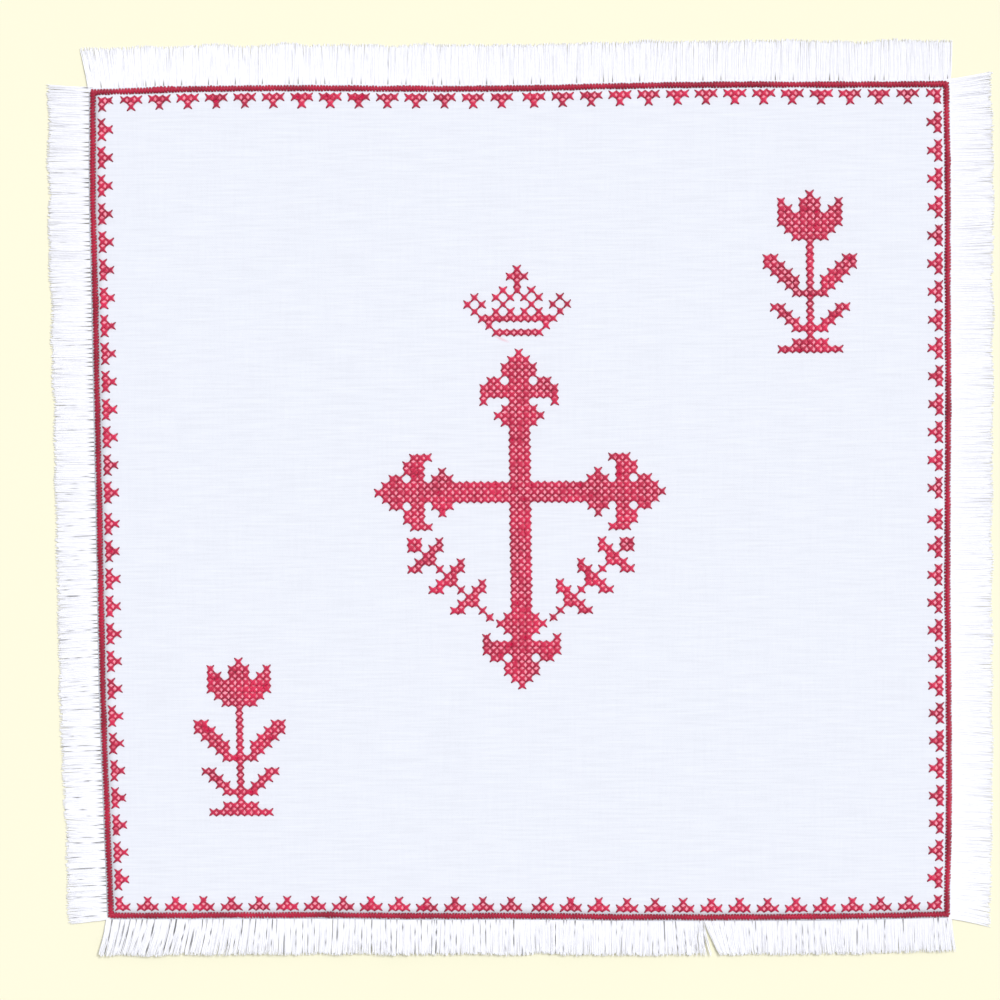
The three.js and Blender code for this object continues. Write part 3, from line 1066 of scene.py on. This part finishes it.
def thread_material():
    """Loose white threads of the fringe, with painted shade where they turn down into the gap beside a
    lock.
    """
    material, tree, place = new_material("frayed_white_thread")
    white = settings("fringe").white
    fibre = fibrous(tree, place, 6500.0, 700.0)
    patch = between(tree, fibre.beside("Patch"), 0.35, 0.65)
    tone = mixed(tree, patch, deeper(white, 0.97), white)
    shade = tree.node("ShaderNodeAttribute", output="Fac", attribute_name=PAINTED_LOCK_SHADE)
    # Painted shade: the threads darken towards a sixth of their white where the stored shade is high.
    inputs = {
        "Base Color": mixed(tree, shade, tone, deeper(white, 0.16)),
        "Roughness": 0.85,
        "Specular IOR Level": 0.2,
        "Sheen Weight": 0.15,
    }
    finish_shader(tree, inputs, bump=(0.2, 0.05 * MM, fibre))
    return material


def floss_material(name, red, patch_scale, dark, light):
    """Stranded red floss with a soft lustre, darker and lighter in patches, and with painted shade at
    its ends, where it sinks into the cloth.
    """
    material, tree, place = new_material(name)
    fibre = fibrous(tree, place, 5200.0, patch_scale)
    patch = between(tree, fibre.beside("Patch"), 0.32, 0.68)
    tone = mixed(tree, patch, deeper(red, dark), deeper(red, light))
    # Painted shade: the floss darkens towards its ends, where it sinks into the cloth's holes.
    strand_end = tree.node("ShaderNodeAttribute", output="Fac", attribute_name=STRAND_END)
    painted_end_shade = between(tree, strand_end, 0.3, 0.95) * 0.92
    inputs = {
        "Base Color": mixed(tree, painted_end_shade, tone, deeper(red, 0.18)),
        "Roughness": 0.48,
        "Specular IOR Level": 0.45,
        "Sheen Weight": 0.2,
        "Sheen Roughness": 0.4,
        "Sheen Tint": (1.0, 0.55, 0.65, 1.0),
    }
    finish_shader(tree, inputs, bump=(0.5, 0.06 * MM, fibre))
    return material


def fuzz_material():
    """Loose fibres of the floss, which tint the cloth between its stitches, here more, there less."""
    material, tree, place = new_material("floss_fuzz")
    stitch = settings("stitch")
    density = between(tree, tree.noise(place, 330.0), 0.0, 0.6)
    tone = mixed(tree, density, stitch.fuzz, stitch.red)
    finish_shader(tree, {"Base Color": tone, "Roughness": 0.95, "Specular IOR Level": 0.1})
    return material


def shared(kept, title, make, **values):
    """A material or node group that is made once, and then taken from those kept in the file."""
    return kept.get(title) or make(**values)


def cross_stitch_tree():
    """The tree of the cross stitch, with the floss and the fuzz that all of it shares."""
    materials = bpy.data.materials
    values = {"red": settings("stitch").red, "patch_scale": 70.0, "dark": 0.66, "light": 1.15}
    red = shared(materials, "red_floss", floss_material, name="red_floss", **values)
    return stitch_tree(red, shared(materials, "floss_fuzz", fuzz_material))


class COVER_OT_edging(bpy.types.Operator):
    """Overcasts the edge of the work with red floss"""

    bl_idname = "basket_cover.edging"
    bl_label = "Overcast Edging"
    bl_options = {"REGISTER", "UNDO"}

    def execute(self, context):
        edging = settings("edging")
        middle = -edging.span / 2
        lines = [Side(name).line(steps=240, out=middle, end=middle) for name in SIDES]
        top = Side("top")
        along = np.linspace(*NEW_FLOSS, num=12) * MM
        out = top.reach + top.bow(along) + middle + NEW_FLOSS_ASIDE * MM
        lines.append(turned(along, out, top.turn))
        height = settings("cloth").top
        host = line_mesh("edging_line", [in_frame(line, height) for line in lines])
        red = floss_material("edging_floss", edging.red, patch_scale=60.0, dark=0.75, light=1.2)
        pattern = overcast_pattern()
        values = {
            "Pattern": pattern, "Along Lines": True, "Pitch": edging.pitch,
            "Padding": edging.padding, "Strand": edging.strand, "Wander": edging.wander, "Taper": 0.2,
            "Slant": 0.09, "Unevenness": 0.09, "Seed": edging.seed,
        }
        piece = grow("edging_stitches", host, stitch_tree(red, red), values)
        bpy.data.objects.remove(pattern)
        keep_piece(piece, "edging", "edging")
        return {"FINISHED"}


class COVER_OT_fringe(bpy.types.Operator):
    """Frays the four sides into their fringe"""

    bl_idname = "basket_cover.fringe"
    bl_label = "Frayed Fringe"
    bl_options = {"REGISTER", "UNDO"}

    def execute(self, context):
        fringe = settings("fringe")
        threads = thread_material()
        weave = shared(bpy.data.materials, "white_plain_weave", cloth_material)
        tree = fringe_tree(threads, weave)
        inner = PIECE_GAP - seam_inset()
        middle = (inner + fringe.heading) / 2
        for number, (name, shape) in enumerate(SIDES.items()):
            line = Side(name).line(steps=160, out=middle, end=fringe.past_corner)
            host = line_mesh(f"fringe_line_{name}", [in_frame(line)])
            values = {
                "Threads": fringe.threads, "Thread": fringe.thread, "Bundle": fringe.bundle,
                "Lock": fringe.lock, "Root Parting": shape["root_parting"],
                "Past Corner": fringe.past_corner - inner, "Heading": fringe.heading - inner,
                "Seed": fringe.seed + 10 * number,
            }
            for trait, unit in (("length", MM), ("fan", MM), ("lift", MM), ("parting", 1)):
                start, end = shape.get(trait, (0, 0))
                values[f"Start {trait.title()}"] = start * unit
                values[f"End {trait.title()}"] = end * unit
            for trait in ("sweep", "swept_at", "notch", "notched_at"):
                values[trait.replace("_", " ").title()] = shape.get(trait, 0) * MM
            piece = grow(f"fringe_threads_{name}", host, tree, values)
            keep_piece(piece, "fringe", f"fringe_{name}")
        return {"FINISHED"}


def stitch_piece(name, plan, tree, pattern, *nodes):
    """Works cross stitches at places of the plan, as one piece. Neighbours have an edge between them."""
    stitch = settings("stitch")
    apart = np.linalg.norm(plan[:, None] - plan, axis=-1)
    side_by_side = 1.2 * stitch_size().max()
    neighbours = np.argwhere(np.triu(apart < side_by_side, 1)).tolist()
    host = bare_mesh(f"{name}_places", in_frame(plan, settings("cloth").top), neighbours)
    values = {
        "Pattern": pattern, "Strand": stitch.strand * FULLNESS.get(name, 1), "Wander": stitch.wander,
        "Fuzz": stitch.fuzz_reach, "Seed": stitch.seed,
    }
    piece = grow(name, host, tree, values)
    keep_piece(piece, "floss", *nodes)


class COVER_OT_border(bpy.types.Operator):
    """Works the border of small trefoils all round the cloth"""

    bl_idname = "basket_cover.border"
    bl_label = "Trefoil Border"
    bl_options = {"REGISTER", "UNDO"}

    def execute(self, context):
        pattern = cross_pattern()
        stitch_piece("border_stitches", trefoil_places(), cross_stitch_tree(), pattern)
        bpy.data.objects.remove(pattern)
        return {"FINISHED"}


class COVER_OT_motifs(bpy.types.Operator):
    """Works the cross, the crown, the sprigs and the tulips in cross stitch"""

    bl_idname = "basket_cover.motifs"
    bl_label = "Embroidered Motifs"
    bl_options = {"REGISTER", "UNDO"}

    def execute(self, context):
        plans = {
            "cross": cross_places(),
            "crown": upright_places(HALF_CROWN, CROWN_TOP),
            "sprig_right": sprig_places(1),
            "sprig_left": sprig_places(-1),
        }
        for name, top in TULIP_TOPS.items():
            plans[name] = upright_places(HALF_TULIP, top)
        tree = cross_stitch_tree()
        pattern = cross_pattern()
        for name, plan in plans.items():
            stitch_piece(f"{name}_stitches", plan, tree, pattern, name)
        bpy.data.objects.remove(pattern)
        return {"FINISHED"}


class COVER_OT_cloth(bpy.types.Operator):
    """Lays the cloth, once the pieces on it are made"""

    bl_idname = "basket_cover.cloth"
    bl_label = "Cloth"
    bl_options = {"REGISTER", "UNDO"}

    def execute(self, context):
        cloth = settings("cloth")
        inset = -seam_inset()
        columns = round(cloth.width / cloth.mesh_step)
        rows = round(cloth.height / cloth.mesh_step)
        u, v = np.meshgrid(np.linspace(-1, 1, columns), np.linspace(-1, 1, rows))
        x = u * (cloth.width / 2 + inset)
        y = v * (cloth.height / 2 + inset)
        across = Side("right").bow(-y) * (1 + u) / 2 - Side("left").bow(y) * (1 - u) / 2
        up = Side("top").bow(x) * (1 + v) / 2 - Side("bottom").bow(-x) * (1 - v) / 2
        plan = np.stack([(x + across).ravel(), (y + up).ravel()], -1)
        points = in_frame(plan, cloth.bottom)
        points[:, 2] += self.ripple(x, y).ravel()
        cell = np.arange(rows * columns).reshape(rows, columns)
        faces = np.stack([cell[:-1, :-1], cell[:-1, 1:], cell[1:, 1:], cell[1:, :-1]], -1)
        mesh = bpy.data.meshes.new("cloth_sheet")
        mesh.from_pydata(points.tolist(), [], faces.reshape(-1, 4).tolist())
        mesh.shade_smooth()
        weave = shared(bpy.data.materials, "white_plain_weave", cloth_material)
        mesh.materials.append(weave)
        piece = link(bpy.data.objects.new("cloth_sheet", mesh))
        thick = piece.modifiers.new("Thickness", "SOLIDIFY")
        thick.thickness = cloth.top - cloth.bottom
        thick.offset = 1
        on_it = [o for o in bpy.data.objects if "_stitches" in o.name or "_threads_" in o.name]
        if not on_it:
            raise RuntimeError("the pieces on the cloth are made before it")
        keep_piece(piece, "cloth", "cloth")
        return {"FINISHED"}

    def ripple(self, x, y):
        """Slow rises and falls of the cloth, from 0 up to its ripple height. Each wave has how fast
        it turns across and up the cloth, in radians a metre, and its phase."""
        waves = ((17, 9, 0.4), (-11, 21, 2.1), (38, -13, 4.0), (7, 44, 5.3))
        total = sum(np.sin(across * x + up * y + phase) for across, up, phase in waves)
        return settings("cloth").ripple * (total / len(waves) + 1) / 2


class COVER_OT_stage(bpy.types.Operator):
    """Sets out the floor, the light and the camera"""

    bl_idname = "basket_cover.stage"
    bl_label = "Stage"
    bl_options = {"REGISTER", "UNDO"}

    def execute(self, context):
        self.floor()
        self.lights()
        self.camera()
        return {"FINISHED"}

    def floor(self):
        material, tree, place = new_material("pale_floor")
        floor = settings("stage").floor
        patch = tree.node("ShaderNodeTexNoise", {"Vector": place, "Scale": 6.0, "Detail": 2.0})
        tone = mixed(tree, patch, deeper(floor, 0.98), floor)
        finish_shader(tree, {"Base Color": tone, "Roughness": 0.9, "Specular IOR Level": 0.1})
        half = 3.0
        corners = [(-half, -half, 0), (half, -half, 0), (half, half, 0), (-half, half, 0)]
        mesh = bpy.data.meshes.new("floor")
        mesh.from_pydata(corners, [], [(0, 1, 2, 3)])
        mesh.materials.append(material)
        link(bpy.data.objects.new("floor", mesh))

    def lights(self):
        stage = settings("stage")
        world = bpy.data.worlds.new("soft_studio")
        world.use_nodes = True
        sky = world.node_tree.nodes["Background"]
        sky.inputs["Color"].default_value = (1.0, 1.0, 1.0, 1.0)
        sky.inputs["Strength"].default_value = stage.fill
        bpy.context.scene.world = world
        lamp = bpy.data.lights.new("key", "SUN")
        lamp.energy = stage.key
        lamp.angle = math.radians(20)
        key = link(bpy.data.objects.new("key", lamp))
        key.rotation_euler = Vector(KEY_DIRECTION).to_track_quat("-Z", "Y").to_euler()

    def camera(self):
        data = bpy.data.cameras.new("camera")
        data.lens = settings("stage").lens
        data.sensor_width = 36
        data.clip_start = 0.01
        camera = link(bpy.data.objects.new("camera", data))
        face_middle = Vector((*work_origin(), settings("cloth").top))
        camera.location = face_middle + Vector(CAMERA_PLACE) * MM
        camera.rotation_euler = [math.radians(angle) for angle in CAMERA_TURN]
        bpy.context.scene.camera = camera
        bpy.context.scene.view_settings.view_transform = "Standard"


class COVER_PT_panel(bpy.types.Panel):
    """Lists the makers of the cover's pieces, and their sizes and colours"""

    bl_idname = "COVER_PT_panel"
    bl_label = "Basket Cover"
    bl_space_type = "VIEW_3D"
    bl_region_type = "UI"
    bl_category = "Basket Cover"

    def draw(self, context):
        for operator in OPERATORS:
            self.layout.operator(operator.bl_idname)
        for name, group in SETTINGS.items():
            box = self.layout.box()
            box.label(text=name.capitalize())
            for prop in group.__annotations__:
                box.prop(settings(name), prop)


SETTINGS = {
    "cloth": ClothSettings,
    "edging": EdgingSettings,
    "fringe": FringeSettings,
    "stitch": StitchSettings,
    "stage": StageSettings,
}
OPERATORS = (
    COVER_OT_stage,
    COVER_OT_fringe,
    COVER_OT_edging,
    COVER_OT_border,
    COVER_OT_motifs,
    COVER_OT_cloth,
)


def register():
    for cls in (*SETTINGS.values(), *OPERATORS, COVER_PT_panel):
        bpy.utils.register_class(cls)
    for name, group in SETTINGS.items():
        setattr(bpy.types.Scene, f"cover_{name}", PointerProperty(type=group))


def unregister():
    for name in SETTINGS:
        delattr(bpy.types.Scene, f"cover_{name}")
    for cls in reversed((*SETTINGS.values(), *OPERATORS, COVER_PT_panel)):
        bpy.utils.unregister_class(cls)


def main():
    register()
    bpy.ops.basket_cover.stage()
    bpy.ops.basket_cover.fringe()
    bpy.ops.basket_cover.edging()
    bpy.ops.basket_cover.border()
    bpy.ops.basket_cover.motifs()
    bpy.ops.basket_cover.cloth()


if __name__ == "__main__":
    main()
